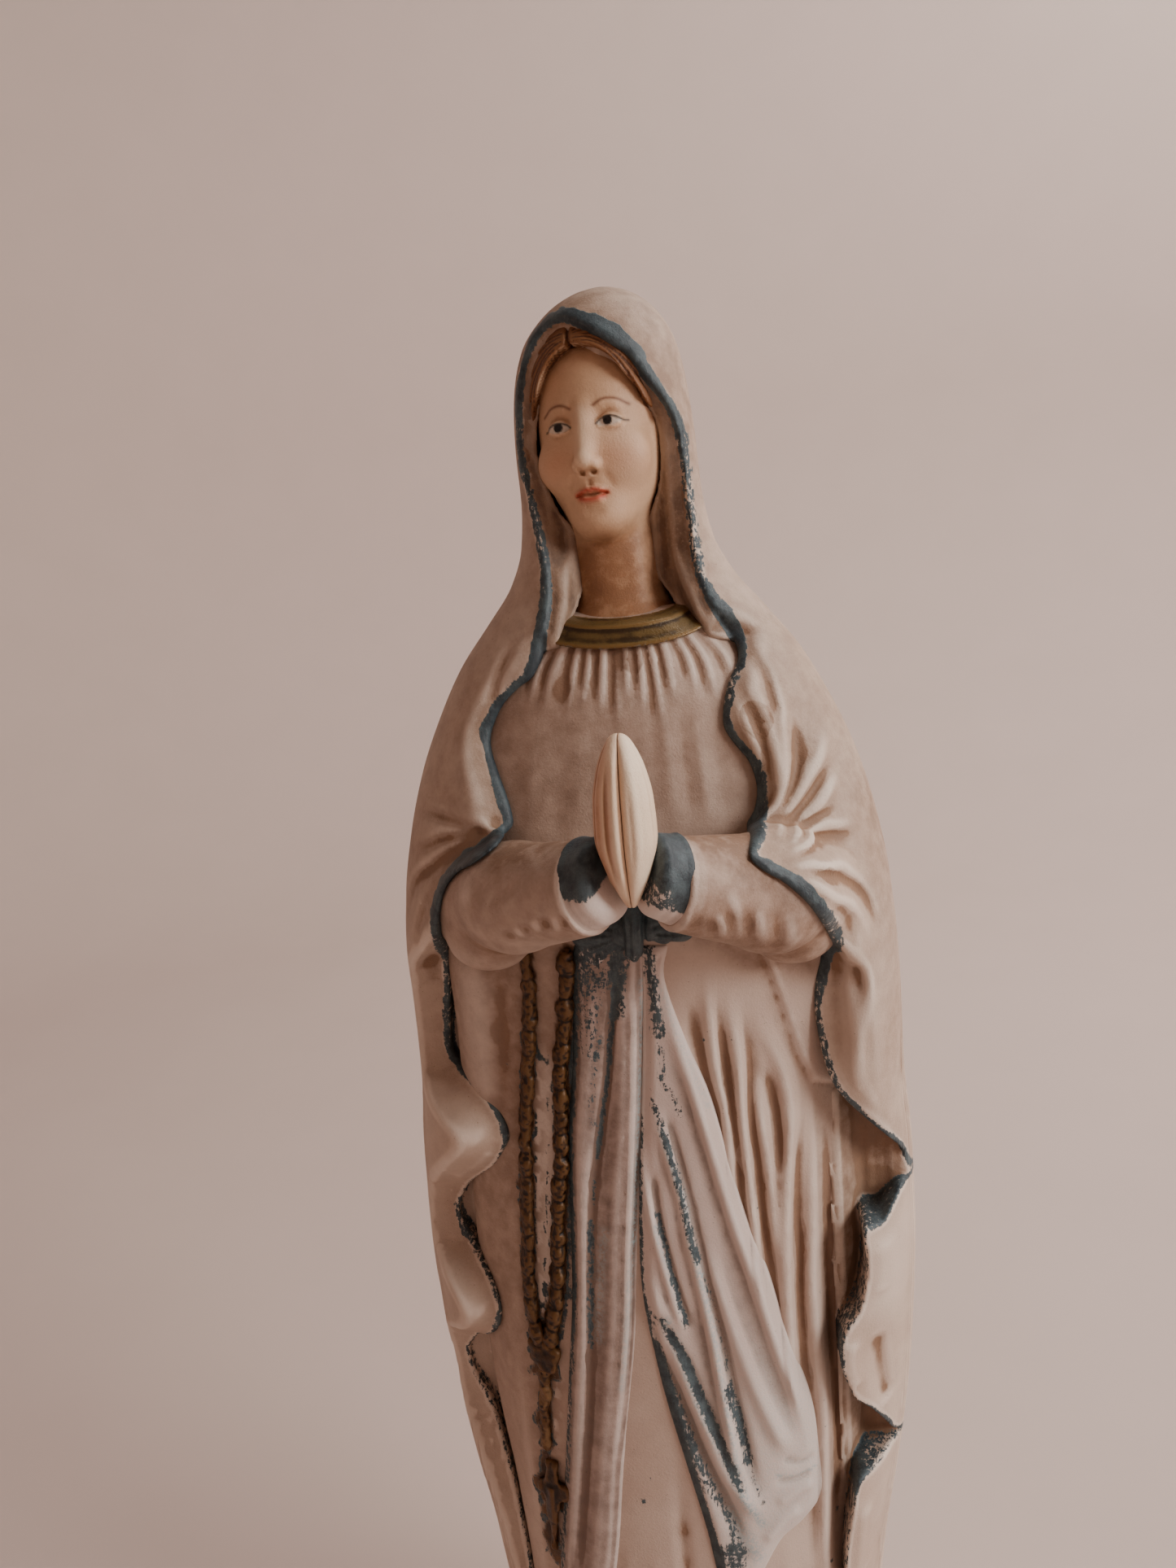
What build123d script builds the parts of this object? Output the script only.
from build123d import *
import math
import os

# Devotional madonna figure in unglazed (bisque) porcelain, slip-cast as separate
# mouldings that are luted together before firing.
# Frame: origin at the bottom centre of the plinth, +Z up, the figure faces -Y,
# +X is the figure's own left-hand side. All sizes are millimetres.

# ---------------------------------------------------------------- driving sizes
TOTAL_H = 300.0          # plinth underside to the top of the veil
PLINTH_H = 20.0          # rock mound height
FLOOR_T = 4.0            # plinth floor thickness
PLINTH_A = 41.0          # plinth half width
PLINTH_B = 38.0          # plinth half depth
WALL = 3.2               # cast wall of the gown
VENT_R = 5.0             # firing vent in the plinth floor
VENT_Y = 16.0            # the vent lies behind the centre of the plinth
NECK_R = 8.0             # neck radius
TENON_R = 6.6            # neck tenon radius
TENON_L = 8.0            # neck tenon length in the gown socket
SEAT_GAP = 0.25          # slip-filled gap round a tenon
HEAD_C = (-1.4, -0.8, 278.4)
HEAD_TILT = 6.0          # head leans to the figure's right, degrees
HEAD_NOD = -6.0          # head lifts, degrees
BEAD_R = 1.15
BEAD_PITCH = 2.75
RELIEF = 2.0             # how far the sash stands off the gown

# z, half width, front depth, back depth, centre x, centre y
MANTLE = [
    (299.4, 3.6, 3.4, 4.2, -1.6, 1.0),
    (294.5, 9.7, 9.2, 11.6, -1.6, 0.9),
    (286.0, 13.8, 12.9, 16.2, -1.5, 0.7),
    (272.0, 14.8, 12.5, 17.0, -1.1, 0.3),
    (261.0, 16.2, 11.4, 16.4, -0.5, 0.2),
    (252.0, 21.8, 12.7, 17.0, 0.0, 0.0),
    (240.0, 30.5, 17.0, 21.0, 0.0, 0.0),
    (224.0, 37.5, 21.8, 24.7, 0.0, 0.0),
    (205.0, 41.8, 26.2, 26.8, 0.0, 0.0),
    (185.0, 42.8, 26.8, 27.2, 0.0, 0.0),
    (160.0, 43.2, 25.2, 27.1, 0.0, 0.0),
    (130.0, 43.5, 25.4, 27.8, 0.0, 0.0),
    (100.0, 40.8, 26.5, 28.6, 0.0, 0.0),
    (70.0, 36.2, 27.6, 29.0, 0.0, 0.0),
    (42.0, 35.6, 29.4, 29.4, 0.0, 0.0),
    (PLINTH_H, 37.2, 31.0, 30.6, 0.0, 0.0),
]
GOWN = [
    (251.0, 11.6, 9.9, 11.6, -0.4, 0.8),
    (247.0, 18.0, 12.2, 14.6, -0.2, 0.3),
    (240.0, 25.5, 14.6, 17.6, 0.0, 0.0),
    (224.0, 32.2, 18.2, 21.5, 0.0, 0.0),
    (205.0, 35.4, 19.6, 23.1, 0.0, 0.0),
    (185.0, 35.0, 18.5, 23.0, 0.0, 0.0),
    (160.0, 35.6, 19.0, 23.3, 0.0, 0.0),
    (130.0, 36.2, 20.8, 24.2, 0.0, 0.0),
    (100.0, 34.8, 22.9, 25.1, 0.0, 0.0),
    (70.0, 31.4, 25.2, 25.2, 0.0, 0.0),
    (42.0, 31.8, 28.0, 25.6, 0.0, 0.0),
    (PLINTH_H, 33.6, 31.2, 26.8, 0.0, 0.0),
]
# front edges of the mantle, (x, z), from the brim down to the hem
EDGE_LEFT = [(-4.0, 296.0), (-9.0, 293.6), (-12.4, 287.0), (-13.4, 279.0), (-12.9, 271.0), (-11.8, 264.0),
             (-11.4, 256.0), (-12.2, 247.1), (-16.3, 239.8), (-21.3, 234.0), (-22.2, 228.0), (-19.8, 221.5),
             (-20.0, 217.0), (-26.4, 212.0), (-31.3, 205.0), (-33.8, 194.0), (-36.2, 178.0), (-34.5, 172.0),
             (-28.5, 168.5), (-26.0, 162.0), (-31.0, 152.0), (-37.0, 144.0), (-34.0, 136.0), (-31.0, 127.0),
             (-33.5, 118.0), (-37.0, 112.0), (-34.0, 102.0), (-31.5, 90.0), (-29.5, 70.0), (-28.0, 50.0), (-27.0, 32.0), (-28.5, 20.5)]
EDGE_RIGHT = [(-1.0, 296.2), (3.5, 293.6), (8.0, 287.5), (10.6, 279.0), (11.6, 271.0), (12.0, 262.0),
              (13.0, 254.5), (16.0, 248.6), (18.1, 243.0), (16.4, 237.8), (15.8, 232.4), (19.3, 226.4),
              (20.2, 222.0), (18.4, 216.2), (23.2, 211.2), (27.9, 204.6), (30.1, 197.2), (28.6, 189.0),
              (28.2, 180.6), (29.8, 172.0), (34.0, 166.5), (37.5, 160.0), (36.0, 150.0), (37.0, 141.0),
              (34.0, 134.0), (31.0, 126.5), (32.0, 118.0), (37.0, 110.0), (34.0, 101.0), (32.5, 92.0),
              (33.0, 80.0), (30.0, 60.0), (28.5, 42.0), (27.0, 32.0), (28.5, 20.5)]
SASH_CENTRE = [(-8.5, 203.0), (-1.0, 203.0), (-0.6, 190.0), (-1.6, 174.0), (-3.2, 154.0), (-5.4, 132.0),
               (-9.6, 104.0), (-13.4, 82.0), (-16.0, 66.0), (-26.0, 66.0), (-23.2, 82.0), (-20.2, 104.0),
               (-17.4, 132.0), (-15.2, 154.0), (-12.8, 178.0), (-10.0, 194.0)]
SASH_SIDE = [(-0.2, 203.0), (5.6, 202.0), (3.4, 190.0), (8.2, 166.0), (13.6, 142.0), (19.2, 118.0),
             (25.4, 97.0), (25.8, 92.0), (21.0, 87.0), (16.0, 78.0), (9.0, 79.0), (5.2, 96.0), (0.8, 116.0),
             (-2.0, 134.0), (-2.0, 156.0), (-0.3, 178.0), (0.3, 192.0)]
SASH_KNOT = [(-10.0, 206.0), (-9.0, 197.6), (-3.0, 196.0), (4.0, 197.2), (9.5, 199.4), (8.6, 206.0)]
STRAND_OUTER = [(-19.9, 197.0), (-20.6, 186.0), (-21.0, 176.0), (-22.3, 162.0), (-23.2, 147.0), (-23.9, 133.0), (-22.8, 124.4)]
STRAND_INNER = [(-11.8, 197.6), (-13.0, 188.0), (-14.6, 178.0), (-15.8, 163.0), (-17.4, 148.0), (-19.0, 134.0), (-21.4, 124.4)]
STRAND_DROP = [(-22.3, 120.0), (-22.9, 112.0), (-23.5, 103.8)]
CROSS_AT = (-24.0, 92.0)

os.makedirs("parts", exist_ok=True)


def ring_points(z, a, bf, bb, cx, cy, grow=0.0, n=2.3, count=24):
    """Points of an egg-shaped section: wider front and back depths round one centre."""
    points = []
    for i in range(count):
        t = 2 * math.pi * i / count
        c, s = math.cos(t), math.sin(t)
        x = (a + grow) * math.copysign(abs(c) ** (2 / n), c)
        b = (bb if s > 0 else bf) + grow
        y = b * math.copysign(abs(s) ** (2 / n), s)
        points.append((cx + x, cy + y, z))
    return points


def skin(table, grow=0.0, n=2.3, lowest=None):
    """A solid lofted through every section of the table."""
    rows = sorted(table, key=lambda r: r[0])
    wires = []
    for z, a, bf, bb, cx, cy in rows:
        edge = Edge.make_spline([Vector(*p) for p in ring_points(z, a, bf, bb, cx, cy, grow, n)], periodic=True)
        wires.append(Wire([edge]))
    return Solid.make_loft(wires)


def plate(points, y0, y1):
    """A prism over a straight-sided outline in the XZ plane, from y0 to y1."""
    wire = Wire.make_polygon([Vector(x, y0, z) for x, z in points], close=True)
    return Solid.extrude(Face(wire), Vector(0, y1 - y0, 0))


def smooth_plate(points, y0, y1):
    """A prism over a smooth closed outline in the XZ plane, from y0 to y1."""
    edge = Edge.make_spline([Vector(x, y0, z) for x, z in points], periodic=True)
    return Solid.extrude(Face(Wire([edge])), Vector(0, y1 - y0, 0))


def front_y(table, x, z, n=2.3):
    """The y of the front of a lofted surface at x and z, by linear interpolation of its table."""
    rows = sorted(table, key=lambda r: r[0])
    z = min(max(z, rows[0][0]), rows[-1][0])
    for lo, hi in zip(rows, rows[1:]):
        if lo[0] <= z <= hi[0]:
            t = (z - lo[0]) / (hi[0] - lo[0])
            a, bf, _, cx, cy = [lo[k] + t * (hi[k] - lo[k]) for k in range(1, 6)]
            break
    u = min(abs((x - cx) / a), 0.98)
    return cy - bf * (1 - u**n) ** (1 / n)


def one(shape):
    """The shape's largest solid, for a cut that leaves slivers."""
    solids = sorted(shape.solids(), key=lambda s: s.volume)
    return solids[-1]


def tube(p0, p1, r0, r1):
    """A solid cone frustum between two points."""
    a, b = Vector(*p0), Vector(*p1)
    return Solid.make_cone(r0, r1, (b - a).length, Plane(origin=a, z_dir=b - a))


def keep(shape, least=0.4):
    """All solids above a least volume, as one compound or solid."""
    solids = [s for s in shape.solids() if s.volume > least]
    return solids[0] if len(solids) == 1 else Compound(children=solids)


# ---------------------------------------------------------------- gown
gown_outer = skin(GOWN)
gown_inner = skin([(z, a - WALL, bf - WALL, bb - WALL, cx, cy) for z, a, bf, bb, cx, cy in GOWN if z < 245.0])
socket_r = TENON_R + SEAT_GAP
socket = Pos(-0.5, 0.8, 246.0) * Cylinder(socket_r, 14)
gown = one(gown_outer - gown_inner - socket)

# ---------------------------------------------------------------- head with neck, hair and tenon
GOWN_TOP = 251.0
face_rows = [(-13.8, 2.6, 3.4, 3.0), (-11.6, 5.0, 6.2, 5.0), (-8.0, 7.2, 8.4, 7.2), (-3.0, 8.6, 9.4, 9.4),
             (3.0, 9.4, 9.8, 10.4), (9.0, 8.8, 8.8, 10.0), (13.0, 6.2, 6.0, 7.4), (15.4, 2.4, 2.4, 3.0)]
hair_rows = [(-17.0, 9.2, -1.5, 7.4), (-12.0, 10.6, -2.0, 9.6), (-6.0, 11.6, 1.0, 11.8), (0.0, 12.1, 3.6, 12.8),
             (6.0, 12.0, 6.6, 12.8), (11.0, 10.4, 8.2, 11.4), (14.8, 6.6, 6.0, 7.6), (16.6, 2.6, 2.6, 3.4)]
face_form = skin([(z, a, bf, bb, 0.0, 0.0) for z, a, bf, bb in face_rows], n=2.05)
hair_form = skin([(z, a, (bf + bb) / 2, (bf + bb) / 2, 0.0, (bb - bf) / 2) for z, a, bf, bb in hair_rows], n=2.1)
nose = Solid.make_cone(1.5, 0.5, 5.6, Plane(origin=(0, -9.2, -3.6), z_dir=(0, 0.16, 1)))
placed = Location(HEAD_C) * Location((0, 0, 0), (HEAD_NOD, -HEAD_TILT, 0))
neck = tube((-0.5, 0.8, GOWN_TOP - 0.6), (-1.0, 0.6, 268.0), NECK_R, NECK_R - 0.8)
tenon = Pos(-0.5, 0.8, GOWN_TOP - TENON_L / 2 + 0.2) * Cylinder(TENON_R, TENON_L + 0.4)
head = one((face_form + nose + hair_form).moved(placed) + neck)
head = one(head - gown_outer)
head = one(head + tenon)
head_room = skin([(z * 1.03, a + 0.2, (bf + bb) / 2 + 0.2, (bf + bb) / 2 + 0.2, 0.0, (bb - bf) / 2)
                  for z, a, bf, bb in hair_rows], n=2.1).moved(placed)

# ---------------------------------------------------------------- collar band
# A narrow gilt ring that lies on the slope of the gown round the foot of the neck.
band_outer = skin([(244.0, 14.2, 14.6, 13.4, -0.4, 0.8), (253.0, 12.0, 12.4, 11.6, -0.4, 0.8)], n=2.0)
band_slab = Pos(-0.4, 0.8, 249.0) * (Rotation(9.0, 0, 0) * Box(60, 60, 4.6))
collar = one((band_outer & band_slab) - gown_outer - neck)
collar = one(collar - head)

# ---------------------------------------------------------------- sleeves, cuffs and hands
MID = 1.4                # the palms meet on this x


def arm(side):
    """One sleeve and its cuff; side is -1 for the figure's right arm."""
    elbow = (side * 28.5, -8.0, 203.5)
    bend = (MID + side * 19.5, -24.5, 208.0)
    wrist = (MID + side * 6.4, -35.2, 212.6)
    lip = (MID + side * 4.2, -37.2, 213.6)
    lengths = [Pos(*elbow) * Sphere(9.8), tube(elbow, bend, 9.8, 9.2), Pos(*bend) * Sphere(9.2), tube(bend, wrist, 9.2, 7.4)]
    body = lengths[0] + lengths[1] + lengths[2] + lengths[3]
    hollow = tube((MID + side * 9.6, -32.6, 211.2), (MID + side * 1.0, -40.0, 215.0), 4.8, 6.2)
    ring = tube(wrist, lip, 7.4, 7.8)
    half = Pos(MID + side * 50.06, 0, 200) * Box(100, 200, 200)
    return (body - hollow) & half, (ring - hollow) & half, lengths


def hand(side):
    """A flat praying hand: palm, closed fingers, thumb and wrist stub."""
    stub = tube((MID + side * 5.4, -36.0, 211.4), (MID + side * 2.5, -38.6, 216.2), 2.3, 2.6)
    rows = [(213.4, 2.0, 3.9, 3.6), (217.0, 2.2, 4.8, 4.4), (222.0, 2.3, 5.2, 4.9), (227.0, 2.15, 4.9, 4.5),
            (231.5, 1.8, 4.1, 3.5), (234.6, 1.3, 2.8, 2.2), (236.4, 0.6, 1.2, 0.9)]
    palm = skin([(z, a, bf, bb, MID + side * (a + 0.08), -39.4 - (z - 213.4) * 0.1) for z, a, bf, bb in rows], n=2.3)
    thumb = tube((MID + side * 2.4, -36.0, 216.0), (MID + side * 1.3, -35.2, 226.0), 1.4, 0.9)
    half = Pos(MID + side * 50.05, 0, 200) * Box(100, 200, 200)
    return one((palm + stub + thumb) & half)


sleeve_right, cuff_right, lengths_right = arm(-1)
sleeve_left, cuff_left, lengths_left = arm(1)
hand_right, hand_left = hand(-1), hand(1)
cuff_right = one(cuff_right - sleeve_right)
cuff_left = one(cuff_left - sleeve_left)
sleeve_right = one(sleeve_right - gown_outer)
sleeve_left = one(sleeve_left - gown_outer)
hand_right = one(hand_right - sleeve_right - cuff_right)
hand_left = one(hand_left - sleeve_left - cuff_left)

# ---------------------------------------------------------------- mantle
opening = list(EDGE_LEFT) + [(-28.5, 12.0), (28.5, 12.0)] + list(reversed(EDGE_RIGHT))
mantle = skin(MANTLE)
for piece in lengths_right + lengths_left + [gown_outer, head_room, head, plate(opening, -70.0, -1.5), collar]:
    mantle = one(mantle - piece)

# ---------------------------------------------------------------- sash: knot and two tails
gown_relief = skin(GOWN, grow=RELIEF)
band_solid = gown_relief - gown_outer
knot = keep(one((skin(GOWN, grow=RELIEF + 1.2) - gown_outer) & smooth_plate(SASH_KNOT, -60.0, -4.0)))
knot = one(knot - sleeve_right - sleeve_left)
tail_centre = one((band_solid & plate(SASH_CENTRE, -60.0, -4.0)) - knot - sleeve_right - sleeve_left)
side_band = skin(GOWN, grow=RELIEF + 1.0) - gown_outer
tail_side = one((side_band & plate(SASH_SIDE, -60.0, -4.0)) - knot - tail_centre - sleeve_right - sleeve_left)
tail_side = one(tail_side - mantle)


# ---------------------------------------------------------------- rosary
def along(points, pitch):
    """Evenly spaced points along a polyline in the XZ plane."""
    out, left = [], 0.0
    for (x0, z0), (x1, z1) in zip(points, points[1:]):
        length = math.hypot(x1 - x0, z1 - z0)
        d = left
        while d <= length:
            out.append((x0 + (x1 - x0) * d / length, z0 + (z1 - z0) * d / length))
            d += pitch
        left = d - length
    return out


def strand(points):
    """Beads linked by a short cord, resting on the gown."""
    places = [Vector(x, front_y(GOWN, x, z) - BEAD_R - 0.35, z) for x, z in along(points, BEAD_PITCH)]
    solid = None
    for p in places:
        ball = Solid.make_sphere(BEAD_R).moved(Location(p))
        solid = ball if solid is None else solid + ball
    for p, q in zip(places, places[1:]):
        solid = solid + Solid.make_cylinder(0.45, (q - p).length, Plane(origin=p, z_dir=q - p))
    return solid


strand_outer = strand(STRAND_OUTER)
strand_inner = strand(STRAND_INNER)
strand_drop = strand(STRAND_DROP)
cross_y = front_y(GOWN, *CROSS_AT) - 1.2
cross = Pos(CROSS_AT[0], cross_y, CROSS_AT[1]) * (Box(2.2, 1.4, 19.0) + Pos(0, 0, 3.4) * Box(9.0, 1.4, 2.2))
medal = Pos(-22.4, front_y(GOWN, -22.4, 122.2) - 1.5, 122.2) * (Rotation(90, 0, 0) * Cylinder(2.2, 1.4))
rosary_parts = {}
for name, solid in (("rosary_strand_outer", strand_outer), ("rosary_strand_inner", strand_inner),
                    ("rosary_strand_drop", strand_drop), ("rosary_medal", medal), ("rosary_cross", cross)):
    for other in (gown_outer, mantle, tail_centre, sleeve_right):
        solid = solid - other
    rosary_parts[name] = keep(solid)
for a, b in (("rosary_strand_outer", "rosary_medal"), ("rosary_strand_inner", "rosary_medal"),
             ("rosary_strand_drop", "rosary_medal"), ("rosary_strand_drop", "rosary_cross"),
             ("rosary_strand_inner", "rosary_strand_outer")):
    rosary_parts[a] = one(rosary_parts[a] - rosary_parts[b])

# ---------------------------------------------------------------- plinth, feet and roses
rock = []
for z, share in ((0.0, 1.0), (5.0, 1.02), (11.0, 0.985), (16.0, 0.95), (PLINTH_H, 0.90)):
    pts = []
    for i in range(22):
        t = 2 * math.pi * i / 22
        w = 1 + 0.022 * math.sin(3 * t + z * 0.21) + 0.018 * math.sin(7 * t - z * 0.3)
        pts.append(Vector(PLINTH_A * share * w * math.cos(t), PLINTH_B * share * w * math.sin(t), z))
    rock.append(Wire([Edge.make_spline(pts, periodic=True)]))
rock_outer = Solid.make_loft(rock)
well = Pos(0, 0, FLOOR_T) * extrude(Ellipse(27.0, 22.6), amount=PLINTH_H)
vent = Pos(0, VENT_Y, 2) * Cylinder(VENT_R, 12)
plinth = one(rock_outer - well - vent)


def foot(side):
    """Toes and instep of a bare foot, standing on the plinth in front of the hem."""
    rows = [(PLINTH_H, 4.9, 6.6, 6.0), (22.6, 4.7, 6.2, 6.0), (25.2, 3.6, 4.4, 5.6), (26.6, 1.8, 2.0, 4.2)]
    form = skin([(z, a, bf, bb, side * 9.5, -29.4) for z, a, bf, bb in rows], n=2.2)
    return one(form - gown_outer)


def rose(side):
    """A five-petalled rose, a low dome on the instep."""
    centre = Vector(side * 9.5, -31.2, 26.5)
    form = None
    for i in range(5):
        t = 2 * math.pi * i / 5 + 0.3
        petal = Solid.make_sphere(1.5).moved(Location(centre + Vector(1.5 * math.cos(t), 0.9 * math.sin(t) - 0.2, 0.9 * math.sin(t))))
        form = petal if form is None else form + petal
    return form + Solid.make_sphere(1.3).moved(Location(centre + Vector(0, -1.0, 0.6)))


foot_right, foot_left = foot(-1), foot(1)
rose_right = one(rose(-1) - foot_right - gown_outer)
rose_left = one(rose(1) - foot_left - gown_outer)

nodes = {
    "plinth": plinth, "gown": gown, "mantle": mantle, "head": head, "collar_band": collar,
    "sleeve_right": sleeve_right, "sleeve_left": sleeve_left, "cuff_right": cuff_right, "cuff_left": cuff_left,
    "hand_right": hand_right, "hand_left": hand_left,
    "sash_knot": knot, "sash_tail_centre": tail_centre, "sash_tail_side": tail_side,
    "foot_right": foot_right, "foot_left": foot_left, "rose_right": rose_right, "rose_left": rose_left,
    **rosary_parts,
}
for name, solid in nodes.items():
    export_step(solid, f"parts/{name}.step")
    print(name, round(solid.volume, 1))
